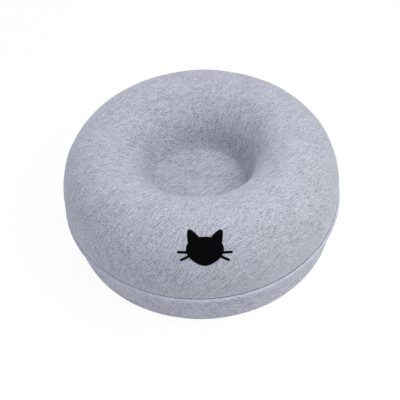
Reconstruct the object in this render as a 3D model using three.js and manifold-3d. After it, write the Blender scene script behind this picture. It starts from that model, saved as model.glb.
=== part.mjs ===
// A round cat tunnel bed: a ring-shaped tunnel moulded from two halves of thick felt.
// The upper half is the crown of the ring with the well that the cat lies in, and the lower half is
// the trough under it. They meet in one level plane. A flat cat-face mark lies on the front slope,
// and a round entrance goes through the rear wall of both halves.
// Millimetres, +Z up, -Y to the front. The origin is the centre of the ring on the floor.
import * as THREE from "three";
import { mergeVertices } from "three/addons/utils/BufferGeometryUtils.js";
import Module from "manifold-3d";

// Driving dimensions
const OUTER_RADIUS = 300; // the widest part, at the seam
const HEIGHT = 240;
const SEAM_HEIGHT = 104;
const FELT = 4; // thickness of the moulded felt
const GAP = 0.3; // between pieces that touch

const CROWN_RADIUS = 205; // ring of the highest points
const WELL_RADIUS = 110; // round floor of the well
const WELL_FLOOR_HEIGHT = SEAM_HEIGHT;
const REST_OUTER_RADIUS = 268; // flat ring that the bed stands on
const REST_INNER_RADIUS = 165;
const BOTTOM_ROUNDING = 26; // height and depth of the rounded bottom edge

const ENTRANCE_RADIUS = 82;
const ENTRANCE_HEIGHT = 107.5; // centre of the entrance

// Fullness of each curved stretch: the length of a curve handle over the rise or run that it spans
const SIDE_FULLNESS = 0.64;
const CROWN_FULLNESS = 0.56;
const SHOULDER_FULLNESS = 0.55;
const WELL_WALL_FULLNESS = 0.71;
const HIDDEN_WALL_FULLNESS = 0.5;

const TURNS = 60; // flat steps round the ring
const ENTRANCE_TURNS = 40;
const UPPER_STEPS = 8; // flat steps along each curved stretch
const LOWER_STEPS = 6;

// The mark, measured flat: the face is centred on its own origin, ears up
const MARK_HEIGHT = 213; // of the mark's centre on the slope
const MARK_THICKNESS = 1;
const MARK_TURN = THREE.MathUtils.degToRad(-3.2); // it was laid on slightly askew
const FACE = {
  top: 22.5, chin: -30.6, // heights on the middle line
  cheekX: 33.9, cheekY: -0.5, // where it is widest
  topReach: 22, cheekUp: 14.5, cheekDown: 15.5, chinReach: 12, // lengths of its curves' handles
};
const EAR = {
  innerX: 10.5, innerY: 21.5, // where its two sides leave the face
  outerX: 30, outerY: 10.2,
  tipX: 27.4, tipY: 30.5, // centre of its round tip
  tipRound: 4.5,
  bulge: 0.8, // how far its sides are full
};
const EAR_TIP_ANGLES = { inner: 132, outer: 4 }; // where its sides meet the tip, in degrees
const WHISKER_WIDTH = 4.6;
const WHISKER_ROUND = 1.2; // of its corners
const WHISKERS = [
  { fromX: 28, fromY: -5.5, toX: 50, toY: -5.5 },
  { fromX: 24, fromY: -10.5, toX: 44.4, toY: -20.7 },
];
const MARK_DEPTH = 60; // of the block that the mark is cut out of the shell with
const MARK_STEPS = 6; // flat steps along a curve of its outline
const FACE_STEPS = 9;

const wasm = await Module();
wasm.setup();

// A closed three.js geometry as a solid that can be cut and joined.
function solidOf(geometry) {
  const bare = geometry.clone();
  bare.deleteAttribute("normal");
  bare.deleteAttribute("uv");
  const merged = mergeVertices(bare, 1e-4);
  const triangles = [];
  const index = merged.index.array;
  for (let i = 0; i < index.length; i += 3) {
    const [a, b, c] = [index[i], index[i + 1], index[i + 2]];
    if (a !== b && b !== c && c !== a) triangles.push(a, b, c);
  }
  return new wasm.Manifold(new wasm.Mesh({
    numProp: 3,
    vertProperties: new Float32Array(merged.attributes.position.array),
    triVerts: new Uint32Array(triangles),
  }));
}

// The solid's faces as a three.js geometry.
function geometryOf(solid) {
  const mesh = solid.getMesh();
  const geometry = new THREE.BufferGeometry();
  geometry.setAttribute("position", new THREE.BufferAttribute(new Float32Array(mesh.vertProperties), 3));
  geometry.setIndex(new THREE.BufferAttribute(new Uint32Array(mesh.triVerts), 1));
  geometry.computeVertexNormals();
  return geometry;
}

// A line of section points moved sideways by a distance, to the left of its direction, with mitred
// corners. Both ends keep their own height or radius: one lies on the axis, the other on the seam.
function offsetLine(points, distance) {
  const leftOf = (from, to) => {
    const along = new THREE.Vector2().subVectors(to, from).normalize();
    return new THREE.Vector2(-along.y, along.x);
  };
  const last = points.length - 1;
  return points.map((point, i) => {
    if (i === 0) return new THREE.Vector2(0, point.y + distance);
    if (i === last) return new THREE.Vector2(point.x - Math.abs(distance), point.y);
    const before = leftOf(points[i - 1], point);
    const after = leftOf(point, points[i + 1]);
    const middle = before.clone().add(after).normalize();
    return point.clone().addScaledVector(middle, distance / middle.dot(before));
  });
}

// A solid of revolution about Z from its lower and upper lines, both running outwards.
function revolve(lower, upper) {
  const section = [...lower, ...upper.slice().reverse()];
  if (section[0].x > 0) section.push(section[0].clone());
  return solidOf(new THREE.LatheGeometry(section, TURNS).rotateX(Math.PI / 2));
}

// The outer curve of the upper half, from the crown down to the seam.
function outerSlope() {
  const seam = SEAM_HEIGHT + GAP / 2;
  return new THREE.CubicBezierCurve(
    new THREE.Vector2(CROWN_RADIUS, HEIGHT),
    new THREE.Vector2(CROWN_RADIUS + CROWN_FULLNESS * (OUTER_RADIUS - CROWN_RADIUS), HEIGHT),
    new THREE.Vector2(OUTER_RADIUS, seam + SIDE_FULLNESS * (HEIGHT - seam)),
    new THREE.Vector2(OUTER_RADIUS, seam),
  );
}

// The well's curve, from the edge of its floor up the wall and over the shoulder to the crown.
function wellWall() {
  const rise = HEIGHT - WELL_FLOOR_HEIGHT;
  const run = CROWN_RADIUS - WELL_RADIUS;
  return new THREE.CubicBezierCurve(
    new THREE.Vector2(WELL_RADIUS, WELL_FLOOR_HEIGHT),
    new THREE.Vector2(WELL_RADIUS, WELL_FLOOR_HEIGHT + WELL_WALL_FULLNESS * rise),
    new THREE.Vector2(CROWN_RADIUS - SHOULDER_FULLNESS * run, HEIGHT),
    new THREE.Vector2(CROWN_RADIUS, HEIGHT),
  );
}

// The upper face of the upper half, from the axis to the seam.
function upperLine() {
  return [
    new THREE.Vector2(0, WELL_FLOOR_HEIGHT),
    ...wellWall().getPoints(UPPER_STEPS),
    ...outerSlope().getPoints(UPPER_STEPS).slice(1),
  ];
}

// The under face of the lower half, from the axis to the seam. Its centre rises to just under the
// well's floor, so the two halves meet there as they do at the seam.
function lowerLine() {
  const centre = WELL_FLOOR_HEIGHT - FELT - GAP - FELT;
  const run = REST_INNER_RADIUS - WELL_RADIUS;
  const hiddenWall = new THREE.CubicBezierCurve(
    new THREE.Vector2(WELL_RADIUS, centre),
    new THREE.Vector2(WELL_RADIUS, centre * HIDDEN_WALL_FULLNESS),
    new THREE.Vector2(REST_INNER_RADIUS - HIDDEN_WALL_FULLNESS * run, 0),
    new THREE.Vector2(REST_INNER_RADIUS, 0),
  );
  const bottomEdge = new THREE.QuadraticBezierCurve(
    new THREE.Vector2(REST_OUTER_RADIUS, 0),
    new THREE.Vector2(REST_OUTER_RADIUS + BOTTOM_ROUNDING, 0),
    new THREE.Vector2(REST_OUTER_RADIUS + BOTTOM_ROUNDING, BOTTOM_ROUNDING),
  );
  return [
    new THREE.Vector2(0, centre),
    ...hiddenWall.getPoints(LOWER_STEPS),
    ...bottomEdge.getPoints(LOWER_STEPS),
    new THREE.Vector2(OUTER_RADIUS, SEAM_HEIGHT - GAP / 2),
  ];
}

// The round bar that the entrance is cut with, through the rear outer wall only.
function entranceCut() {
  const from = REST_INNER_RADIUS + FELT;
  const to = OUTER_RADIUS + FELT;
  const bar = new THREE.CylinderGeometry(ENTRANCE_RADIUS, ENTRANCE_RADIUS, to - from, ENTRANCE_TURNS);
  return solidOf(bar.translate(0, (from + to) / 2, ENTRANCE_HEIGHT));
}

function upperHalf() {
  const upper = upperLine();
  return revolve(offsetLine(upper, -FELT), upper).subtract(entranceCut());
}

function lowerHalf() {
  const lower = lowerLine();
  return revolve(lower, offsetLine(lower, FELT)).subtract(entranceCut());
}

// One flat outline as a block, MARK_DEPTH deep and centred on its plane. side is 1, or -1 for the
// same outline mirrored left to right.
function block(shape, side, steps) {
  const outline = shape.getPoints(steps).map((point) => new THREE.Vector2(side * point.x, point.y));
  const flat = new THREE.Shape(outline);
  const body = new THREE.ExtrudeGeometry(flat, { depth: MARK_DEPTH, bevelEnabled: false });
  return solidOf(body.translate(0, 0, -MARK_DEPTH / 2));
}

function faceShape() {
  const { top, chin, cheekX, cheekY, topReach, cheekUp, cheekDown, chinReach } = FACE;
  return new THREE.Shape()
    .moveTo(0, chin)
    .bezierCurveTo(chinReach, chin, cheekX, cheekY - cheekDown, cheekX, cheekY)
    .bezierCurveTo(cheekX, cheekY + cheekUp, topReach, top, 0, top)
    .bezierCurveTo(-topReach, top, -cheekX, cheekY + cheekUp, -cheekX, cheekY)
    .bezierCurveTo(-cheekX, cheekY - cheekDown, -chinReach, chin, 0, chin);
}

// The control point of a side that bulges to the left of its direction.
function fullSide(from, to, bulge) {
  const along = new THREE.Vector2().subVectors(to, from).normalize();
  const middle = from.clone().lerp(to, 0.5);
  return middle.addScaledVector(new THREE.Vector2(-along.y, along.x), 2 * bulge);
}

// The right ear leans outwards, with two full sides and a round tip.
function earShape() {
  const tip = new THREE.Vector2(EAR.tipX, EAR.tipY);
  const angles = [EAR_TIP_ANGLES.inner, EAR_TIP_ANGLES.outer].map(THREE.MathUtils.degToRad);
  const [tipIn, tipOut] = angles.map((angle) => tip.clone().add(
    new THREE.Vector2(Math.cos(angle), Math.sin(angle)).multiplyScalar(EAR.tipRound)));
  const inner = new THREE.Vector2(EAR.innerX, EAR.innerY);
  const outer = new THREE.Vector2(EAR.outerX, EAR.outerY);
  const innerBow = fullSide(inner, tipIn, EAR.bulge);
  const outerBow = fullSide(tipOut, outer, EAR.bulge);
  const shape = new THREE.Shape();
  shape.moveTo(inner.x, inner.y);
  shape.quadraticCurveTo(innerBow.x, innerBow.y, tipIn.x, tipIn.y);
  shape.absarc(tip.x, tip.y, EAR.tipRound, angles[0], angles[1], true);
  shape.quadraticCurveTo(outerBow.x, outerBow.y, outer.x, outer.y);
  return shape;
}

// A whisker is a straight bar with round ends.
function whiskerShape({ fromX, fromY, toX, toY }) {
  const half = WHISKER_WIDTH / 2;
  const angle = Math.atan2(toY - fromY, toX - fromX);
  const at = (x, y, along, across) => new THREE.Vector2(along, across)
    .rotateAround(new THREE.Vector2(), angle)
    .add(new THREE.Vector2(x, y));
  const shape = new THREE.Shape();
  for (const side of [-1, 1]) {
    const corner = at(toX, toY, -WHISKER_ROUND, side * (half - WHISKER_ROUND));
    const start = angle + ((side - 1) * Math.PI) / 4;
    shape.absarc(corner.x, corner.y, WHISKER_ROUND, start, start + Math.PI / 2, false);
  }
  for (const side of [1, -1]) {
    const corner = at(fromX, fromY, 0, side * half);
    shape.lineTo(corner.x, corner.y);
  }
  return shape;
}

// The mark lies GAP above the felt all over: the shell between two lines just outside the outer
// slope, cut to the face's outline along the slope's normal at the mark's centre.
function catFace() {
  const onSlope = (line) => line.slice(-UPPER_STEPS - 1, -1);
  const skin = (distance) => onSlope(offsetLine(upperLine(), distance));
  const shell = revolve(skin(GAP), skin(GAP + MARK_THICKNESS));

  let face = block(faceShape(), 1, FACE_STEPS);
  for (const side of [1, -1]) {
    face = face.add(block(earShape(), side, MARK_STEPS));
    for (const whisker of WHISKERS) face = face.add(block(whiskerShape(whisker), side, MARK_STEPS));
  }

  const slope = onSlope(upperLine());
  const below = slope.findIndex((point) => point.y < MARK_HEIGHT);
  const [high, low] = [slope[below - 1], slope[below]];
  const radius = THREE.MathUtils.mapLinear(MARK_HEIGHT, low.y, high.y, low.x, high.x);
  const lean = Math.atan2(low.x - high.x, high.y - low.y); // of the slope from upright
  const front = solidOf(new THREE.BoxGeometry(OUTER_RADIUS, OUTER_RADIUS, HEIGHT * 2)
    .translate(0, -OUTER_RADIUS / 2, 0));
  const place = new THREE.Matrix4()
    .makeTranslation(0, -radius, MARK_HEIGHT)
    .multiply(new THREE.Matrix4().makeRotationX(Math.PI / 2 - lean))
    .multiply(new THREE.Matrix4().makeRotationZ(MARK_TURN));
  return shell.intersect(face.transform(place.elements)).intersect(front);
}

function piece(name, solid, color, roughness) {
  const material = new THREE.MeshStandardMaterial({ color, roughness, metalness: 0 });
  const mesh = new THREE.Mesh(geometryOf(solid), material);
  mesh.name = name;
  return mesh;
}

const bed = new THREE.Group();
bed.add(piece("top_shell", upperHalf(), 0xb4b7c3, 0.95));
bed.add(piece("base_shell", lowerHalf(), 0xacafbc, 0.95));
bed.add(piece("cat_face", catFace(), 0x0b0c0f, 0.8));

export default bed;
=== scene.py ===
"""The looks of a round felt cat tunnel bed, in metres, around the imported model.

Two moulded felt halves meet in a level seam. Each is built here as one smooth sheet: a surface of
revolution from a few sizes, a little uneven, given its thickness and soft edges. A flat black
cat-face mark follows the front slope.
"""
import math

import bmesh
import bpy
import numpy as np
from mathutils import Matrix, Vector, noise


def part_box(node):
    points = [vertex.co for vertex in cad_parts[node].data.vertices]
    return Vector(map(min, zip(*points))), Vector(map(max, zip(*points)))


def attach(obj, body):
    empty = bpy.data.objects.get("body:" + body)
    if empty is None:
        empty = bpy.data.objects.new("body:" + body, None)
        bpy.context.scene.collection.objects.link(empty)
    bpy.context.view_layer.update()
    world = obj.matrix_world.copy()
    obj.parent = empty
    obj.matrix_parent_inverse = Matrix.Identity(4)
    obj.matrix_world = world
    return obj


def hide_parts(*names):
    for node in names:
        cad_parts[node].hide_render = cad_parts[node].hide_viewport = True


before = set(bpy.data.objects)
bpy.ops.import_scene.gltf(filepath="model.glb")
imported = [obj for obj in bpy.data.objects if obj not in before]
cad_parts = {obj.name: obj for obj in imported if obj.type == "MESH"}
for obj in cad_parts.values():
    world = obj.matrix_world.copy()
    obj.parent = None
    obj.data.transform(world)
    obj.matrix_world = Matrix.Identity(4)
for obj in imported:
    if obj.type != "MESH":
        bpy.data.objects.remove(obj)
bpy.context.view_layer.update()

# ---------------------------------------------------------------- sizes, in metres
MM = 0.001
OUTER_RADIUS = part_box("base_shell")[1][0]
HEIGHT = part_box("top_shell")[1][2]
SEAM_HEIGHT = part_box("base_shell")[1][2] + 0.15 * MM
SKIRT_END = 0.1 * MM  # the upper half's soft edge ends this far above the seam
LIP_END = -0.1 * MM  # and the lower half's this far below it
FELT = 4 * MM
CENTRE_DROP = 2 * FELT + 0.3 * MM  # from the well's floor down to the lower half's under face

CROWN_RADIUS = 205 * MM
WELL_RADIUS = 110 * MM
REST_OUTER_RADIUS = 268 * MM
REST_INNER_RADIUS = 165 * MM
BOTTOM_ROUNDING = 26 * MM
ENTRANCE_RADIUS = 82 * MM
ENTRANCE_HEIGHT = 107.5 * MM

# Fullness of each curved stretch: the length of a curve handle over the rise or run it spans
SIDE_FULLNESS = 0.64
CROWN_FULLNESS = 0.56
SHOULDER_FULLNESS = 0.55
WELL_WALL_FULLNESS = 0.71
HIDDEN_WALL_FULLNESS = 0.5

CREASE_IN, CREASE_RISE = 7 * MM, 52 * MM  # the well's wall sweeps in to its floor over these
CREASE_SLOPE = math.radians(60)  # and meets it at this angle
CREASE_BEAD, BEAD_WIDTH = 1.4 * MM, 1.6 * MM  # the pressed line round the floor stands proud
BEAD_IN = 1 * MM  # its middle lies this far inside the wall's foot
FOOT_IN = 1.5 * MM  # the lower half draws in towards its foot
LOWER_LEAN = (1.0 * MM, -1.2 * MM)  # its top sits this much to the right and front
FOOT_LEAN = (1.3 * MM, 0.3 * MM)  # and its foot this much to the right and rear
LEFT_GAPE = 1.7 * MM  # the seam is nearly shut at the front and right, and opens this far at the left
LIP_WAVE, LIP_WAVE_WIDTH = 0.4 * MM, 45 * MM  # the gap varies by about this much, over this width
LIP_WAVE_POWER = 8  # how quickly that dies out below the lip
EDGE_ROUNDING = 0.8 * MM  # of the felt's cut edges
HEM_DEPTH = 12.5 * MM  # the pressed band under the seam
HEM_PROUD = 4.2 * MM
HEM_LEAN = 0.7 * MM  # how far the band leans in at its top
HEM_STEP = 0.5 * MM  # how soft its lower edge is
GROOVE_DEPTH, GROOVE_WIDTH = 0.7 * MM, 1.1 * MM  # the groove at its foot
GROOVE_BELOW = 1.2 * MM  # the groove's middle, below the band
LIP_ROLL, LIP_ROLL_DEPTH = 4.2 * MM, 5 * MM  # the band's rolled top edge
SKIRT_ROLL, SKIRT_ROLL_DEPTH = 0.4 * MM, 2 * MM  # the upper half's lower edge turns in

# Where the mould pressed the felt smooth, and over what width that fades
SKIRT_BAND, SKIRT_FADE = 10 * MM, 4 * MM  # above the seam
HEM_FADE = 1 * MM
LIP_PRESSED_AND_HIGHLIGHT = 3.5 * MM  # the rolled edge, most of all; this also draws it lighter, a painted highlight
BEAD_PRESSED_AND_LIT = 6 * MM  # round the well's floor, where it also draws the felt lighter: painted light against the shade at the wall's foot
# How much looser than plain felt these are, where the pressed band is 1
WALL_LOOSE = 0.4  # the well's wall
FLOOR_LOOSE = 0.3  # its floor
LEFT_LOOSER = 0.35  # the left side, and the right side as much firmer
RIGHT_WALL_LOOSER = 1.2  # the right of the well's wall, besides
DRAWN_WELL, DRAWN_SIDE = 0.6, 0.9  # of each drawn wall's height was there in the flat blank

UNEVEN, UNEVEN_WIDTH = 1.3 * MM, 110 * MM  # the felt's slow waves
FINER_SHARE, FINER_RATE = 0.45, 2.3  # with weaker and narrower ones on them
UNEVEN_START = Vector((3.1, 7.7, 1.3))  # where in the noise they begin
FOOT_CALM = 30 * MM  # they grow from none at the floor to full at this height
SEAM_CALM = 8 * MM  # this near the seam they start to turn sideways only

# How far apart the points of a section lie
SLOPE_SPACING, WALL_SPACING, FLOOR_SPACING, SIDE_SPACING = 4.6 * MM, 4.4 * MM, 5 * MM, 5 * MM
BOTTOM_SPACING, HIDDEN_SPACING, PLAIN_SPACING = 4 * MM, 6 * MM, 8 * MM
# and how near its creases and edges, and over what length
EDGE_SPACING, EDGE_LENGTH = 0.6 * MM, 6 * MM
CREASE_SPACING, WALL_FOOT_LENGTH, FLOOR_EDGE_LENGTH = 0.8 * MM, 5 * MM, 8 * MM
HEM_SPACING, HEM_LENGTH = 1.1 * MM, HEM_DEPTH + 5 * MM
DRAFT_SPACING = 0.4 * MM  # of a line that is still to be shaped
AXIS_FAN = 4 * MM  # radius of the fan that closes a sheet at the axis
TURNS_UPPER, TURNS_LOWER = 372, 360  # points round each half

MARK_HEIGHT = 213 * MM
MARK_TURN = math.radians(-3.2)
MARK_LIFT = 0.3 * MM
MARK_THICKNESS = 0.7 * MM
MARK_EDGE = 0.35  # of its thickness is left at its soft edge
MARK_CELL = 0.7 * MM  # of the grid that it is made from
MARK_GRID = (54 * MM, 42 * MM)  # half that grid's width and height
FACE_SIDE = np.array([  # its right half, by two curves from the top to the chin
    [(0, 22.5), (22, 22.5), (33.9, 14), (33.9, -0.5)],
    [(33.9, -0.5), (33.9, -16), (12, -30.6), (0, -30.6)],
]) * MM
EAR_INNER, EAR_OUTER, EAR_TIP = np.array([(10.5, 21.5), (30, 10.2), (27.4, 30.5)]) * MM
EAR_TIP_ROUND, EAR_BULGE = 4.5 * MM, 0.8 * MM
EAR_TIP_ANGLES = (132, 4)  # degrees, where its sides meet the round tip
WHISKER_WIDTH, WHISKER_ROUND = 4.6 * MM, 1.2 * MM
WHISKERS = np.array([[(28, -5.5), (50, -5.5)], [(24, -10.5), (44.4, -20.7)]]) * MM  # on the right


# ---------------------------------------------------------------- section lines
def bezier(points, steps=400):
    """Points along a cubic curve, given its ends and handles."""
    a, b, c, d = (np.array(p, float) for p in points)
    t = np.linspace(0, 1, steps + 1)[:, None]
    return (1 - t) ** 3 * a + 3 * (1 - t) ** 2 * t * b + 3 * (1 - t) * t**2 * c + t**3 * d


def resample(line, spacing):
    """The line with points about spacing apart along it."""
    steps = np.hypot(*np.diff(line, axis=0).T)
    along = np.concatenate([[0], np.cumsum(steps)])
    count = max(1, round(along[-1] / spacing))
    at = np.linspace(0, along[-1], count + 1)
    return np.stack([np.interp(at, along, line[:, k]) for k in (0, 1)], 1)


def joined(*lines):
    """Lines end to end, each shared point once."""
    return np.concatenate([lines[0]] + [line[1:] for line in lines[1:]])


def well_wall():
    """From the well's foot up to the crown, before its foot is swept in."""
    rise, run = HEIGHT - SEAM_HEIGHT, CROWN_RADIUS - WELL_RADIUS
    return bezier(
        [
            (WELL_RADIUS, SEAM_HEIGHT),
            (WELL_RADIUS, SEAM_HEIGHT + WELL_WALL_FULLNESS * rise),
            (CROWN_RADIUS - SHOULDER_FULLNESS * run, HEIGHT),
            (CROWN_RADIUS, HEIGHT),
        ]
    )


def outer_slope():
    """From the crown down to the seam."""
    seam = SEAM_HEIGHT + SKIRT_END
    run = OUTER_RADIUS - CROWN_RADIUS
    return bezier(
        [
            (CROWN_RADIUS, HEIGHT),
            (CROWN_RADIUS + CROWN_FULLNESS * run, HEIGHT),
            (OUTER_RADIUS, seam + SIDE_FULLNESS * (HEIGHT - seam)),
            (OUTER_RADIUS, seam),
        ]
    )


def distance_to_end(line):
    """How far each point has to go along the line to its end."""
    steps = np.hypot(*np.diff(line[::-1], axis=0).T)
    return np.concatenate([np.cumsum(steps)[::-1], [0]])


def rolled_in(line, roll, depth):
    """Curves the end of a line that comes to the seam inwards."""
    short = np.clip(1 - distance_to_end(line) / depth, 0, 1)
    line = line.copy()
    line[:, 0] -= roll * short**2
    return line


def with_fine_end(line, coarse, fine, length):
    """Resampled coarsely, then finely over the last stretch."""
    split = int(np.argmax(distance_to_end(line) < length))
    return joined(resample(line[: split + 1], coarse), resample(line[split:], fine))


def upper_line():
    """The upper half's upper face, from near the axis to the seam."""
    wall = well_wall()
    wall = wall[wall[:, 1] > SEAM_HEIGHT + CREASE_RISE]
    edge, along = WELL_RADIUS - CREASE_IN, wall[1] - wall[0]
    foot = CREASE_RISE / 3 * np.array([math.cos(CREASE_SLOPE), math.sin(CREASE_SLOPE)])
    crease = bezier(
        [
            (edge, SEAM_HEIGHT),
            foot + (edge, SEAM_HEIGHT),
            wall[0] - CREASE_RISE / 3 * along / np.hypot(*along),
            wall[0],
        ],
        steps=200,
    )
    crease = with_fine_end(crease[::-1], WALL_SPACING, CREASE_SPACING, WALL_FOOT_LENGTH)[::-1]
    floor = resample(np.array([(AXIS_FAN, SEAM_HEIGHT), (edge, SEAM_HEIGHT)]), 1 * MM)
    floor = with_fine_end(floor, FLOOR_SPACING, CREASE_SPACING, FLOOR_EDGE_LENGTH)
    bead = (floor[:, 0] - (edge - BEAD_IN)) / BEAD_WIDTH
    floor[:, 1] += CREASE_BEAD * np.exp(-(bead**2))
    slope = resample(outer_slope(), DRAFT_SPACING)
    slope = with_fine_end(slope, SLOPE_SPACING, EDGE_SPACING, EDGE_LENGTH)
    return joined(
        floor,
        crease,
        resample(wall, WALL_SPACING),
        rolled_in(slope, SKIRT_ROLL, SKIRT_ROLL_DEPTH),
    )


def lower_line():
    """The lower half's under face, from near the axis to the seam."""
    centre = SEAM_HEIGHT - CENTRE_DROP
    run = REST_INNER_RADIUS - WELL_RADIUS
    hidden = bezier(
        [
            (WELL_RADIUS, centre),
            (WELL_RADIUS, centre * HIDDEN_WALL_FULLNESS),
            (REST_INNER_RADIUS - HIDDEN_WALL_FULLNESS * run, 0),
            (REST_INNER_RADIUS, 0),
        ],
        steps=200,
    )
    rim = REST_OUTER_RADIUS + BOTTOM_ROUNDING - FOOT_IN
    corner = 2 / 3  # a quadratic curve's handle written as a cubic's
    bottom = bezier(
        [
            (rim - BOTTOM_ROUNDING, 0),
            (rim - (1 - corner) * BOTTOM_ROUNDING, 0),
            (rim, (1 - corner) * BOTTOM_ROUNDING),
            (rim, BOTTOM_ROUNDING),
        ],
        steps=60,
    )
    top = SEAM_HEIGHT + LIP_END
    side = resample(np.array([(rim, BOTTOM_ROUNDING), (OUTER_RADIUS, top)]), DRAFT_SPACING)
    below = top - side[:, 1]
    # The pressed band stands proud of the wall, with a soft step and a groove at its foot.
    step = 1 / (1 + np.exp((below - HEM_DEPTH) / HEM_STEP))
    lean = np.clip(1 - below / HEM_DEPTH, 0, 1)
    groove = np.exp(-(((below - HEM_DEPTH - GROOVE_BELOW) / GROOVE_WIDTH) ** 2))
    side[:, 0] += HEM_PROUD * step - HEM_LEAN * lean - GROOVE_DEPTH * groove
    side = with_fine_end(side, SIDE_SPACING, HEM_SPACING, HEM_LENGTH)
    return joined(
        resample(np.array([(AXIS_FAN, centre), (WELL_RADIUS, centre)]), PLAIN_SPACING),
        resample(hidden, HIDDEN_SPACING),
        resample(np.array([(REST_INNER_RADIUS, 0), (rim - BOTTOM_ROUNDING, 0)]), PLAIN_SPACING),
        resample(bottom, BOTTOM_SPACING),
        rolled_in(side, LIP_ROLL, LIP_ROLL_DEPTH),
    )


# ---------------------------------------------------------------- sheets of felt
def unevenness(x, y, z):
    """How far the moulded felt stands out from its true form: slow waves, none at the floor."""
    place = Vector((x, y, z)) / UNEVEN_WIDTH
    wave = noise.noise(place + UNEVEN_START) + FINER_SHARE * noise.noise(place * FINER_RATE)
    return UNEVEN * wave * min(1, max(0, z / FOOT_CALM))


def revolved(name, line, turns, pressed):
    """An open surface of revolution, closed by a fan at the axis, with its fibre directions."""
    count = len(line)
    angle = np.arange(turns) * (2 * math.pi / turns)
    ring = np.stack([np.cos(angle), np.sin(angle)], 1)
    places = np.empty((count, turns, 3))
    places[..., :2] = line[:, None, :1] * ring[None]
    places[..., 2] = line[:, None, 1]
    points = [tuple(p) for p in places.reshape(-1, 3)] + [(0, 0, line[0, 1])]
    faces = [(len(points) - 1, i, (i + 1) % turns) for i in range(turns)]
    for row in range(count - 1):
        a, b = row * turns, (row + 1) * turns
        faces += [(a + i, b + i, b + (i + 1) % turns, a + (i + 1) % turns) for i in range(turns)]
    mesh = bpy.data.meshes.new(name)
    mesh.from_pydata(points, [], faces)
    write_grain(mesh, angle, line, pressed)
    sheet = bpy.data.objects.new(name, mesh)
    bpy.context.scene.collection.objects.link(sheet)
    return sheet


def blank_radius(line):
    """Where each point of the section lay in the flat blank: the walls were drawn out, so the
    felt's fibres are longer down them."""
    run, rise = abs(np.diff(line[:, 0])), abs(np.diff(line[:, 1]))
    drawn = np.where(line[1:, 0] < CROWN_RADIUS, DRAWN_WELL, DRAWN_SIDE)
    steps = np.hypot(run, drawn * rise)
    return np.concatenate([[0], np.cumsum(steps)]) + line[0, 0]


def write_grain(mesh, angle, line, pressed):
    """The place of each point in the flat blank, and how far the mould pressed the felt there."""
    ring = np.stack([np.cos(angle), np.sin(angle), 0 * angle], 1)
    places = blank_radius(line)[:, None, None] * ring[None]
    layer = mesh.attributes.new("blank", "FLOAT_VECTOR", "POINT")
    layer.data.foreach_set("vector", np.append(places.ravel(), [0, 0, 0]))
    uneven = LEFT_LOOSER * np.cos(angle) * line[:, :1] / OUTER_RADIUS
    towards_right = np.maximum(np.cos(angle), 0) ** 2
    uneven -= RIGHT_WALL_LOOSER * towards_right * on_well_wall(line)[:, None]
    layer = mesh.attributes.new("pressed", "FLOAT", "POINT")
    layer.data.foreach_set("value", np.append((pressed[:, None] + uneven).ravel(), pressed[0]))


def on_well_wall(line):
    """1 half-way up the well's wall, falling to 0 at its foot and at the crown."""
    up = (line[:, 1] - SEAM_HEIGHT) / (HEIGHT - SEAM_HEIGHT)
    return (line[:, 0] < CROWN_RADIUS) * np.clip(4 * up * (1 - up), 0, 1)


def pressed_upper(line):
    """The band above the seam and the line round the well's floor are pressed smooth, and the
    well's drawn wall between them and the crown is looser, below zero. The line round the
    floor is also drawn lighter: painted light against the shade at the wall's foot."""
    away = line[:, 1] - line[-1, 1] + (line[:, 0] < CROWN_RADIUS) * OUTER_RADIUS
    band = 1 / (1 + np.exp((away - SKIRT_BAND) / SKIRT_FADE))
    from_foot = np.hypot(line[:, 0] - WELL_RADIUS, line[:, 1] - SEAM_HEIGHT)
    bead = np.exp(-((from_foot / BEAD_PRESSED_AND_LIT) ** 2))
    floor = line[:, 0] < WELL_RADIUS - CREASE_IN
    return np.maximum(band, bead) - WALL_LOOSE * on_well_wall(line) - FLOOR_LOOSE * floor


def pressed_lower(line):
    """The hem band is pressed smooth, its rolled edge most of all; that edge is also drawn lighter, a
    painted highlight.
    """
    away = line[-1, 1] - line[:, 1] + (line[:, 0] < REST_OUTER_RADIUS) * OUTER_RADIUS
    band = 1 / (1 + np.exp((away - HEM_DEPTH) / HEM_FADE))
    return band + np.exp(-((away / LIP_PRESSED_AND_HIGHLIGHT) ** 2))


def cut_entrance(sheet):
    """Opens the round entrance through the rear wall, cut exactly along its circle."""
    bm = bmesh.new()
    bm.from_mesh(sheet.data)
    rear = REST_INNER_RADIUS + FELT
    near_enough = 0.3 * MM

    def outside(place):
        return math.hypot(place.x, place.z - ENTRANCE_HEIGHT) - ENTRANCE_RADIUS

    behind = [v for v in bm.verts if v.co.y > rear]
    on_circle = {v for v in behind if abs(outside(v.co)) < near_enough}
    for edge in [e for e in bm.edges if e.verts[0].co.y > rear]:
        first, last = edge.verts
        if first in on_circle or last in on_circle:
            continue
        start, end = outside(first.co), outside(last.co)
        if start * end < 0:
            on_circle.add(bmesh.utils.edge_split(edge, first, start / (start - end))[1])
    # In the mesh's own order, because a set's order changes from run to run
    bmesh.ops.connect_verts(bm, verts=[v for v in bm.verts if v in on_circle])
    middles = {face: face.calc_center_median() for face in bm.faces}
    inside = [face for face, at in middles.items() if at.y > rear and outside(at) < 0]
    bmesh.ops.delete(bm, geom=inside, context="FACES")
    bm.to_mesh(sheet.data)
    bm.free()


def with_waves(places, normals, below):
    """The places moved by the felt's slow waves. The halves move as one where they meet: only
    sideways at the seam, and up and down together in the middle."""
    radius = np.hypot(places[:, 0], places[:, 1])
    at_seam = np.clip(1 - abs(places[:, 2] - SEAM_HEIGHT) / SEAM_CALM, 0, 1)
    way = normals.copy()
    way[:, 2] *= 1 - at_seam * (radius > CROWN_RADIUS)
    heights = places[:, 2]
    if below:
        hidden = np.interp(radius, (WELL_RADIUS, REST_INNER_RADIUS), (1, 0))
        way = way * (1 - hidden)[:, None] + hidden[:, None] * (0, 0, 1)
        heights = heights + hidden * CENTRE_DROP
    lift = np.array([unevenness(x, y, z) for (x, y, _), z in zip(places, heights)])
    return places + way * lift[:, None]


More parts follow.
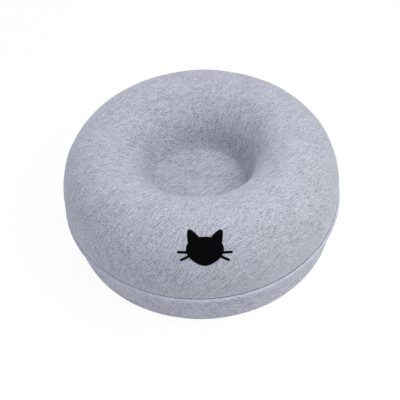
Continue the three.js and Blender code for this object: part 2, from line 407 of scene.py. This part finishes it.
def settle_seam(places):
    """Lets the lower half down a little from the upper one, most at the left, and leans it."""
    share = places[:, 2] / SEAM_HEIGHT
    waves = np.array([noise.noise(Vector(place) / LIP_WAVE_WIDTH) for place in places])
    places[:, 2] -= LEFT_GAPE * share * np.maximum(-places[:, 0] / OUTER_RADIUS, 0)
    places[:, 2] -= LIP_WAVE * share**LIP_WAVE_POWER * np.maximum(waves, 0)
    places[:, :2] += share[:, None] * LOWER_LEAN + (1 - share[:, None]) * FOOT_LEAN


def apply_modifiers(piece):
    """Leaves the piece with its final shape as a plain mesh."""
    bpy.context.view_layer.update()
    evaluated = piece.evaluated_get(bpy.context.evaluated_depsgraph_get())
    shape = bpy.data.meshes.new_from_object(evaluated)
    piece.modifiers.clear()
    old = piece.data
    piece.data = shape
    bpy.data.meshes.remove(old)


def felt_half(name, line, turns, pressed, below=False):
    """One moulded half of even thickness, with the way in cut out and soft edges."""
    sheet = revolved(name, line, turns, pressed(line))
    cut_entrance(sheet)
    mesh = sheet.data
    if below:
        mesh.flip_normals()
    mesh.update()
    places, normals = (np.empty(len(mesh.vertices) * 3) for _ in range(2))
    mesh.vertices.foreach_get("co", places)
    mesh.vertex_normals.foreach_get("vector", normals)
    places = with_waves(places.reshape(-1, 3), normals.reshape(-1, 3), below)
    if below:
        settle_seam(places)
    mesh.vertices.foreach_set("co", places.ravel())
    mesh.update()
    thick = sheet.modifiers.new("thickness", "SOLIDIFY")
    thick.thickness = FELT
    thick.offset = -1
    edges = sheet.modifiers.new("soft edges", "BEVEL")
    edges.width = EDGE_ROUNDING
    edges.segments = 3
    edges.limit_method = "ANGLE"
    edges.angle_limit = math.radians(60)
    apply_modifiers(sheet)
    sheet.data.shade_smooth()
    return sheet


# ---------------------------------------------------------------- the mark
def distance_to_outline(outline, points):
    """Signed distance of points from a closed outline, negative inside."""
    nearest = np.full(len(points), np.inf)
    inside = np.zeros(len(points), bool)
    for a, b in zip(outline, np.roll(outline, -1, axis=0)):
        side, away = b - a, points - a
        t = np.clip(away @ side / max(side @ side, 1e-18), 0, 1)
        nearest = np.minimum(nearest, np.hypot(*(away - t[:, None] * side).T))
        crosses = (a[1] > points[:, 1]) != (b[1] > points[:, 1])
        rise = side[1] if side[1] else 1e-18
        inside ^= crosses & (points[:, 0] < a[0] + (points[:, 1] - a[1]) * side[0] / rise)
    return np.where(inside, -nearest, nearest)


def quadratic(a, bow, b, steps=12):
    """Points along a curve with one control point."""
    t = np.linspace(0, 1, steps + 1)[:, None]
    return (1 - t) ** 2 * a + 2 * (1 - t) * t * bow + t**2 * b


def full_side(a, b):
    """The control point of an ear's side that bulges to the left of its direction."""
    along = (b - a) / np.hypot(*(b - a))
    return (a + b) / 2 + 2 * EAR_BULGE * np.array([-along[1], along[0]])


def right_ear():
    """The right ear's outline. Its open foot lies inside the face."""
    first, last = (math.radians(angle) for angle in EAR_TIP_ANGLES)
    turn = np.linspace(first, last, 14)
    tip = EAR_TIP + EAR_TIP_ROUND * np.stack([np.cos(turn), np.sin(turn)], 1)
    inner = quadratic(EAR_INNER, full_side(EAR_INNER, tip[0]), tip[0])
    outer = quadratic(tip[-1], full_side(tip[-1], EAR_OUTER), EAR_OUTER)
    return np.concatenate([inner, tip[1:-1], outer])


def bar_distance(start, end, points):
    """Signed distance from a straight bar with slightly rounded corners."""
    along = (end - start) / np.hypot(*(end - start))
    away = points - (start + end) / 2
    across = np.array([-along[1], along[0]])
    half = np.array([np.hypot(*(end - start)), WHISKER_WIDTH]) / 2
    past = np.stack([abs(away @ along), abs(away @ across)], 1) - half + WHISKER_ROUND
    return np.hypot(*np.maximum(past, 0).T) + np.minimum(past.max(1), 0) - WHISKER_ROUND


def mark_distance(points):
    """Signed distance from the cat face's outline, in its own flat plane."""
    side = joined(*(bezier(curve, 18) for curve in FACE_SIDE))
    face = np.concatenate([side, side[-2:0:-1] * (-1, 1)])
    mirrored = points * np.sign(points[:, :1] + 1e-12)
    mirrored[:, 1] = points[:, 1]
    found = distance_to_outline(face, points)
    found = np.minimum(found, distance_to_outline(right_ear(), mirrored))
    for start, end in WHISKERS:
        found = np.minimum(found, bar_distance(start, end, mirrored))
    return found


def slope_frame():
    """The mark's centre on the front slope, with its right, up and outward directions."""
    slope = outer_slope()
    at = int(np.argmin(abs(slope[:, 1] - MARK_HEIGHT)))
    rise = slope[at - 1] - slope[at + 1]
    rise /= np.hypot(*rise)
    centre = np.array([0, -slope[at, 0], slope[at, 1]])
    up = np.array([0, -rise[0], rise[1]])
    right = np.array([1.0, 0, 0])
    return centre, right, up, np.cross(right, up)


def on_slope(flat):
    """Flat places on the mark carried onto the uneven slope, with the slope's normals there."""
    centre, right, up, out = slope_frame()
    c, s = math.cos(MARK_TURN), math.sin(MARK_TURN)
    turned = flat @ np.array([[c, s], [-s, c]])
    start = centre + turned[:, :1] * right + turned[:, 1:] * up
    slope = outer_slope()[::-1]
    near, far = np.full(len(flat), -20 * MM), np.full(len(flat), 40 * MM)
    for _ in range(40):  # halvings
        middle = (near + far) / 2
        p = start - middle[:, None] * out
        outside = np.hypot(p[:, 0], p[:, 1]) > np.interp(p[:, 2], slope[:, 1], slope[:, 0])
        near, far = np.where(outside, middle, near), np.where(outside, far, middle)
    p = start - near[:, None] * out
    tangent = np.gradient(slope, axis=0)
    radial = np.interp(p[:, 2], slope[:, 1], tangent[:, 1])
    upward = np.interp(p[:, 2], slope[:, 1], -tangent[:, 0])
    size, ring = np.hypot(radial, upward), np.hypot(p[:, 0], p[:, 1])
    normal = np.stack([p[:, 0] / ring * radial, p[:, 1] / ring * radial, upward], 1) / size[:, None]
    lift = np.array([unevenness(*q) for q in p])
    return p + normal * lift[:, None], normal


def mark_cells():
    """The corners and faces of a fine flat grid's cells inside the outline."""
    columns, rows = (int(2 * half / MARK_CELL) for half in MARK_GRID)
    xs = np.linspace(-MARK_GRID[0], MARK_GRID[0], columns + 1)
    ys = np.linspace(-MARK_GRID[1], MARK_GRID[1], rows + 1)
    flat = np.stack(np.meshgrid(xs, ys), -1).reshape(-1, 2)
    wide = columns + 1
    corner = (np.arange(rows)[:, None] * wide + np.arange(columns)[None]).ravel()
    faces = np.stack([corner, corner + 1, corner + 1 + wide, corner + wide], 1)
    faces = faces[mark_distance(flat[faces].mean(1)) < 0]
    used, inverse = np.unique(faces, return_inverse=True)
    return flat[used], inverse.reshape(-1, 4)


def draw_in(flat, rim):
    """Moves the corners at the rim onto the outline, in steps that stop a little short."""
    nudge, step, least_slope = 0.05 * MM, 0.8, 0.3
    for _ in range(6):
        away = mark_distance(flat[rim])
        slope = np.stack([
            mark_distance(flat[rim] + shift) - mark_distance(flat[rim] - shift)
            for shift in nudge * np.eye(2)
        ], 1) / (2 * nudge)
        slope /= np.maximum(np.hypot(*slope.T), least_slope)[:, None]
        flat[rim] -= step * away[:, None] * slope


def cat_mark():
    """A thin flat patch with a soft edge, made as a fine grid drawn in to the outline."""
    flat, faces = mark_cells()
    edges = np.sort(np.concatenate([faces[:, [k, (k + 1) % 4]] for k in range(4)]), 1)
    pairs, times = np.unique(edges, axis=0, return_counts=True)
    open_edges = pairs[times == 1]
    rim = np.unique(open_edges)
    draw_in(flat, rim)

    depth = np.clip(-mark_distance(flat), 0, MARK_THICKNESS) / MARK_THICKNESS
    depth[rim] = 0
    rounded = np.sqrt(1 - (1 - depth) ** 2)
    thickness = MARK_THICKNESS * (MARK_EDGE + (1 - MARK_EDGE) * rounded)
    place, normal = on_slope(flat)
    top = place + normal * (MARK_LIFT + thickness)[:, None]
    under = place + normal * MARK_LIFT
    count = len(flat)
    loops = [tuple(f) for f in faces] + [tuple(f[::-1] + count) for f in faces]
    rim_edges = {tuple(e) for e in open_edges}
    for f in faces:
        for a, b in zip(f, np.roll(f, -1)):
            if (min(a, b), max(a, b)) in rim_edges:
                loops.append((b, a, a + count, b + count))
    mesh = bpy.data.meshes.new("cat_mark")
    mesh.from_pydata([tuple(p) for p in np.concatenate([top, under])], [], loops)
    mesh.update()
    mark = bpy.data.objects.new("cat_mark", mesh)
    bpy.context.scene.collection.objects.link(mark)
    mesh.shade_smooth()
    return mark


# ---------------------------------------------------------------- materials
class Nodes:
    """Short names for building one material's nodes. Most return the socket that they made."""

    def __init__(self, name):
        self.material = bpy.data.materials.new(name)
        self.material.use_nodes = True
        self.tree = self.material.node_tree
        self.shader = self.tree.nodes["Principled BSDF"]

    def add(self, kind, **settings):
        node = self.tree.nodes.new(kind)
        for key, value in settings.items():
            setattr(node, key, value)
        return node

    def link(self, source, target):
        self.tree.links.new(source, target)

    def grain(self, place, degrees, across, along, shift):
        """Noise drawn out in one direction. across and along are sizes in metres, and shift moves
        it, so that no two layers are alike."""
        turned = self.add("ShaderNodeMapping", vector_type="TEXTURE")
        turned.inputs["Rotation"].default_value = (0, 0, math.radians(degrees))
        turned.inputs["Scale"].default_value = (along, across, across)
        turned.inputs["Location"].default_value = (shift * 0.31, shift * 0.17, shift)
        self.link(place, turned.inputs["Vector"])
        return self.noise(turned.outputs["Vector"], 1.0, 1.5, 0.5)

    def wandering(self, place, width, reach):
        """The place shifted by slow noise, so that fibres wander."""
        noise = self.add("ShaderNodeTexNoise")
        noise.inputs["Scale"].default_value = 1 / width
        noise.inputs["Detail"].default_value = 1.0
        self.link(place, noise.inputs["Vector"])
        centred = self.add("ShaderNodeVectorMath", operation="SUBTRACT")
        self.link(noise.outputs["Color"], centred.inputs[0])
        centred.inputs[1].default_value = (0.5, 0.5, 0.5)
        moved = self.add("ShaderNodeVectorMath", operation="MULTIPLY_ADD")
        self.link(centred.outputs[0], moved.inputs[0])
        moved.inputs[1].default_value = (reach, reach, reach)
        self.link(place, moved.inputs[2])
        return moved.outputs[0]

    def total(self, start, *parts):
        """start plus each value times its weight."""
        for value, weight in parts:
            node = self.add("ShaderNodeMath", operation="MULTIPLY_ADD")
            self.link(value, node.inputs[0])
            node.inputs[1].default_value = weight
            if isinstance(start, (int, float)):
                node.inputs[2].default_value = start
            else:
                self.link(start, node.inputs[2])
            start = node.outputs[0]
        return start

    def ramp(self, value, *stops):
        node = self.add("ShaderNodeValToRGB")
        while len(node.color_ramp.elements) < len(stops):
            node.color_ramp.elements.new(0.5)
        for element, (at, colour) in zip(node.color_ramp.elements, stops):
            element.position, element.color = at, (*colour, 1)
        self.link(value, node.inputs["Fac"])
        return node.outputs["Color"]

    def noise(self, vector, scale, detail, roughness):
        node = self.add("ShaderNodeTexNoise")
        node.inputs["Scale"].default_value = scale
        node.inputs["Detail"].default_value = detail
        node.inputs["Roughness"].default_value = roughness
        self.link(vector, node.inputs["Vector"])
        return node.outputs["Fac"]

    def between(self, value, low, high, to_high=1.0):
        """0 where the value is low, to_high where it is high, and smooth between."""
        node = self.add("ShaderNodeMapRange", interpolation_type="SMOOTHSTEP")
        for key, number in (("From Min", low), ("From Max", high), ("To Max", to_high)):
            node.inputs[key].default_value = number
        self.link(value, node.inputs["Value"])
        return node.outputs["Result"]

    def math(self, operation, a, b):
        node = self.add("ShaderNodeMath", operation=operation)
        for socket, value in zip(node.inputs, (a, b)):
            if isinstance(value, (int, float)):
                socket.default_value = value
            else:
                self.link(value, socket)
        return node.outputs[0]

    def mix(self, amount, a, b):
        node = self.add("ShaderNodeMix", data_type="RGBA")
        self.link(amount, node.inputs["Factor"])
        for key, value in (("A", a), ("B", b)):
            socket = next(s for s in node.inputs if s.name == key and s.type == "RGBA")
            if isinstance(value, tuple):
                socket.default_value = (*value, 1)
            else:
                self.link(value, socket)
        return next(s for s in node.outputs if s.type == "RGBA")

    def bump(self, height, distance, strength):
        node = self.add("ShaderNodeBump")
        node.inputs["Distance"].default_value = distance
        node.inputs["Strength"].default_value = strength
        self.link(height, node.inputs["Height"])
        self.link(node.outputs["Normal"], self.shader.inputs["Normal"])


def linear(red, green, blue):
    """A colour given as it looks, 0 to 255, as the shader takes it."""
    return tuple(((c / 255 + 0.055) / 1.055) ** 2.4 for c in (red, green, blue))


# What shows in the felt: directions in degrees in the flat blank, and widths and lengths
FIBRES = ((24, 1.0), (12, 0.6), (50, 0.9), (-34, 0.5))  # directions, with how strongly each shows
FIBRE_SIZE = (1.5 * MM, 14 * MM)
STREAKS, STREAK_SIZE = (24, 46), (3 * MM, 40 * MM)
FINE_FIBRES, FINE_SIZE = (34, -12), (0.45 * MM, 7 * MM)  # single fibres, seen only from near
GRAIN_SIZE, CLOUD_SIZE = 2.2 * MM, 60 * MM  # these lie no particular way
FLECKS = ((26, 1.4 * MM, 10 * MM), (62, 1.4 * MM, 8 * MM))
STRAND = (45, 1.7 * MM, 34 * MM)
WANDER_WIDTH, WANDER_REACH = 80 * MM, 22 * MM  # how the directions wander

# How strongly each shows in the tone, which is 0.5 for plain felt
GRAIN_STRENGTH = 1.7
FIBRE_STRENGTH = 0.85
STREAK_STRENGTH = 0.58
FINE_STRENGTH = 0.6
CLOUD_STRENGTH = 0.3
CALMED = 0.5  # pressing takes this share of the contrast away
LEAST_CONTRAST = 0.65  # but leaves at least this
# Pressed felt is drawn lighter: partly smoother felt, partly painted light (a painted highlight on
# the rolled lip, painted light at the well's floor edge)
PRESSED_LIGHTER_AND_PAINTED_LIGHT = 0.09
# Each tone, with the share of the base colour that it gives
TONES = ((0.0, 0.5), (0.36, 0.84), (0.5, 1.0), (0.64, 1.09), (1.0, 1.25))
FLECK_RANGE, FLECK_DEPTH, FLECK_SHADE = (0.6, 0.78), 0.35, 0.45
STRAND_RANGE, STRAND_LIGHT, STRAND_SHADE = (0.6, 0.7), 0.25, 1.3
RELIEF, RELIEF_STRENGTH, STRAND_RELIEF = 1.0 * MM, 0.2, 0.3


def felt_material(name, base, shift, contrast):
    """Grey melange needle felt: a fine grain of matted fibres, most of them lying one way, with
    sparse dark flecks and longer pale strands."""
    n = Nodes(name)
    blank = n.add("ShaderNodeAttribute", attribute_name="blank").outputs["Vector"]
    pressed = n.add("ShaderNodeAttribute", attribute_name="pressed").outputs["Fac"]
    solid = n.add("ShaderNodeTexCoord").outputs["Object"]
    place = n.wandering(blank, WANDER_WIDTH, WANDER_REACH)

    def shade(share):
        return tuple(share * c for c in base)

    layers = [(n.noise(solid, 1 / GRAIN_SIZE, 1.0, 0.5), GRAIN_STRENGTH)]
    layers += [(n.grain(place, angle, *FIBRE_SIZE, shift + i), FIBRE_STRENGTH * weight)
               for i, (angle, weight) in enumerate(FIBRES)]
    layers += [(n.grain(place, angle, *STREAK_SIZE, shift + 5 + angle), STREAK_STRENGTH)
               for angle in STREAKS]
    layers += [(n.grain(place, angle, *FINE_SIZE, shift + 40 + angle), FINE_STRENGTH)
               for angle in FINE_FIBRES]
    layers.append((n.noise(place, 1 / CLOUD_SIZE, 2.0, 0.5), CLOUD_STRENGTH))
    middle = sum(weight for _, weight in layers) / 2
    calm = n.total(contrast, (pressed, -CALMED * contrast))
    calm = n.math("MAXIMUM", calm, LEAST_CONTRAST * contrast)
    tone = n.total(0.5, (n.math("MULTIPLY", n.total(-middle, *layers), calm), 1.0))
    # lighter where pressed: partly smoother felt, partly painted light on the rolled lip and round
    # the well's floor
    smooth = n.math("MAXIMUM", n.total(-LEFT_LOOSER, (pressed, 1.0)), 0)
    tone = n.total(tone, (smooth, PRESSED_LIGHTER_AND_PAINTED_LIGHT))
    colour = n.ramp(tone, *((at, shade(share)) for at, share in TONES))

    first, second = (n.between(n.grain(place, *fleck, shift + 21 + i), *FLECK_RANGE)
                     for i, fleck in enumerate(FLECKS))
    flecks = n.math("MULTIPLY", n.math("MAXIMUM", first, second), calm)
    colour = n.mix(n.math("MULTIPLY", flecks, FLECK_DEPTH), colour, shade(FLECK_SHADE))
    strands = n.between(n.grain(place, *STRAND, shift + 23), *STRAND_RANGE)
    colour = n.mix(n.math("MULTIPLY", strands, STRAND_LIGHT), colour, shade(STRAND_SHADE))
    n.link(colour, n.shader.inputs["Base Color"])

    n.bump(n.total(tone, (strands, STRAND_RELIEF)), RELIEF, RELIEF_STRENGTH)
    n.shader.inputs["Roughness"].default_value = 0.95
    n.shader.inputs["Specular IOR Level"].default_value = 0.12
    n.shader.inputs["Sheen Weight"].default_value = 0.35
    n.shader.inputs["Sheen Roughness"].default_value = 0.4
    return n.material


FLOCK_DARK, FLOCK_LIGHT, FLOCK_PATCH = linear(2, 3, 6), linear(8, 9, 12), linear(4, 6, 9)
NAP_SIZE, NAP_DEPTH, PATCH_SIZE = 0.35 * MM, 0.15 * MM, 9 * MM


def mark_material():
    """Matt black flock, with a short nap and hardly lighter patches."""
    n = Nodes("mark_flock")
    place = n.add("ShaderNodeTexCoord").outputs["Object"]
    nap = n.noise(place, 1 / NAP_SIZE, 2.0, 0.6)
    patches = n.noise(place, 1 / PATCH_SIZE, 3.0, 0.5)
    colour = n.mix(n.between(nap, 0.35, 0.7), FLOCK_DARK, FLOCK_LIGHT)
    colour = n.mix(n.between(patches, 0.4, 0.7, to_high=0.4), colour, FLOCK_PATCH)
    n.link(colour, n.shader.inputs["Base Color"])
    n.bump(nap, NAP_DEPTH, 0.6)
    n.shader.inputs["Roughness"].default_value = 0.85
    n.shader.inputs["Specular IOR Level"].default_value = 0.03
    return n.material


# ---------------------------------------------------------------- camera, light and floor
VIEW_ELEVATION = math.radians(47.17)
VIEW_DISTANCE = 1.3
VIEW_TARGET_HEIGHT = 0.1
VIEW_ROLL = -0.057  # radians
VIEW_FOCAL = 1.453  # this and the shift are shares of the frame's width
VIEW_SHIFT = (-0.003, -0.04125)
SENSOR = 36

WORLD_STRENGTH, WORLD_COLOUR = 0.348, (0.96, 0.965, 1.08)
# Softboxes. Azimuth 0 is behind the bed, 90 to its right, 180 in front of it. Power is in watts.
LAMPS = {
    "key": {"azimuth": 120, "elevation": 60, "power": 31.2, "colour": (1.0, 1.02, 0.97)},
    "back": {"azimuth": 0, "elevation": 30, "power": 7.4, "colour": (1, 1, 1)},
    "left": {"azimuth": 270, "elevation": 30, "power": 8.9, "colour": (0.95, 0.96, 1.05)},
}
LAMP_SIZE, LAMP_DISTANCE = 1.4, 2.2
LAMP_TARGET_HEIGHT = 0.1

FLOOR_REACH = 6.0  # half its width
FLOOR_WHITE = 0.92
GLOW_SHARE, GLOW_STRENGTH = 0.92, 1.015  # with the lit share this adds up to white


def make_camera():
    data = bpy.data.cameras.new("camera")
    camera = bpy.data.objects.new("camera", data)
    bpy.context.scene.collection.objects.link(camera)
    back = Vector((0, -math.cos(VIEW_ELEVATION), math.sin(VIEW_ELEVATION)))
    right = Vector((1, 0, 0))
    up = back.cross(right)
    turn = Matrix((right, up, back)).transposed().to_4x4() @ Matrix.Rotation(VIEW_ROLL, 4, "Z")
    place = Matrix.Translation(Vector((0, 0, VIEW_TARGET_HEIGHT)) + back * VIEW_DISTANCE)
    camera.matrix_world = place @ turn
    data.sensor_width = SENSOR
    data.lens = VIEW_FOCAL * SENSOR
    data.shift_x, data.shift_y = VIEW_SHIFT
    bpy.context.scene.camera = camera


def make_lamp(name, azimuth, elevation, power, colour):
    data = bpy.data.lights.new(name, "AREA")
    data.energy, data.color, data.size = power, colour, LAMP_SIZE
    lamp = bpy.data.objects.new(name, data)
    a, e = math.radians(azimuth), math.radians(elevation)
    way = Vector((math.sin(a) * math.cos(e), math.cos(a) * math.cos(e), math.sin(e)))
    lamp.location = Vector((0, 0, LAMP_TARGET_HEIGHT)) + way * LAMP_DISTANCE
    lamp.rotation_euler = way.to_track_quat("Z", "Y").to_euler()
    bpy.context.scene.collection.objects.link(lamp)


def seen_directly(tree):
    """1 for camera rays and for those that metal and glass send on, 0 for light."""
    path = tree.nodes.new("ShaderNodeLightPath")
    seen = path.outputs["Is Camera Ray"]
    for ray in ("Is Glossy Ray", "Is Transmission Ray"):
        either = tree.nodes.new("ShaderNodeMath")
        either.operation = "MAXIMUM"
        tree.links.new(seen, either.inputs[0])
        tree.links.new(path.outputs[ray], either.inputs[1])
        seen = either.outputs[0]
    return seen


def make_world():
    """Soft light from all round, seen as plain white."""
    world = bpy.data.worlds.new("studio")
    world.use_nodes = True
    tree = world.node_tree
    background = tree.nodes["Background"]
    background.inputs["Color"].default_value = (*WORLD_COLOUR, 1)
    background.inputs["Strength"].default_value = WORLD_STRENGTH
    seen = tree.nodes.new("ShaderNodeBackground")
    seen.inputs["Color"].default_value = (1, 1, 1, 1)
    mix = tree.nodes.new("ShaderNodeMixShader")
    tree.links.new(seen_directly(tree), mix.inputs["Fac"])
    tree.links.new(background.outputs[0], mix.inputs[1])
    tree.links.new(seen.outputs[0], mix.inputs[2])
    tree.links.new(mix.outputs[0], tree.nodes["World Output"].inputs["Surface"])
    bpy.context.scene.world = world


def make_floor():
    """A white floor that keeps the bed's shadow."""
    mesh = bpy.data.meshes.new("floor")
    r = FLOOR_REACH
    mesh.from_pydata([(-r, -r, 0), (r, -r, 0), (r, r, 0), (-r, r, 0)], [], [(0, 1, 2, 3)])
    floor = bpy.data.objects.new("floor", mesh)
    bpy.context.scene.collection.objects.link(floor)
    n = Nodes("floor_white")
    n.shader.inputs["Base Color"].default_value = (FLOOR_WHITE, FLOOR_WHITE, FLOOR_WHITE, 1)
    n.shader.inputs["Roughness"].default_value = 1.0
    glow = n.add("ShaderNodeEmission")
    glow.inputs["Strength"].default_value = GLOW_STRENGTH
    both = n.add("ShaderNodeMixShader")
    share = n.math("MULTIPLY", seen_directly(n.tree), GLOW_SHARE)
    n.link(share, both.inputs["Fac"])
    n.link(n.shader.outputs[0], both.inputs[1])
    n.link(glow.outputs[0], both.inputs[2])
    n.link(both.outputs[0], n.tree.nodes["Material Output"].inputs["Surface"])
    mesh.materials.append(n.material)


# ---------------------------------------------------------------- the bed
def dress(piece, material, node):
    """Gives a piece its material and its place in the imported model."""
    piece.data.materials.clear()
    piece.data.materials.append(material)
    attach(piece, "root")
    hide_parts(node)


make_camera()
bpy.context.scene.view_settings.view_transform = "Standard"
make_world()
make_floor()
for name, lamp in LAMPS.items():
    make_lamp(name, **lamp)

# Both halves are the same felt; the lower one's colour is written a little lighter, painted light
# making up for the shade on its slightly downward-facing wall
UPPER_COLOUR, LOWER_COLOUR_PAINTED_LIGHTER = linear(186.5, 188.5, 200), linear(192, 193.5, 207)
felt_above = felt_material("felt_above", UPPER_COLOUR, shift=0.0, contrast=0.94)
felt_below = felt_material("felt_below", LOWER_COLOUR_PAINTED_LIGHTER, shift=9.0, contrast=1.25)
upper = felt_half("upper_felt", upper_line(), TURNS_UPPER, pressed_upper)
lower = felt_half("lower_felt", lower_line(), TURNS_LOWER, pressed_lower, below=True)
mark = cat_mark()
dress(upper, felt_above, "top_shell")
dress(lower, felt_below, "base_shell")
dress(mark, mark_material(), "cat_face")
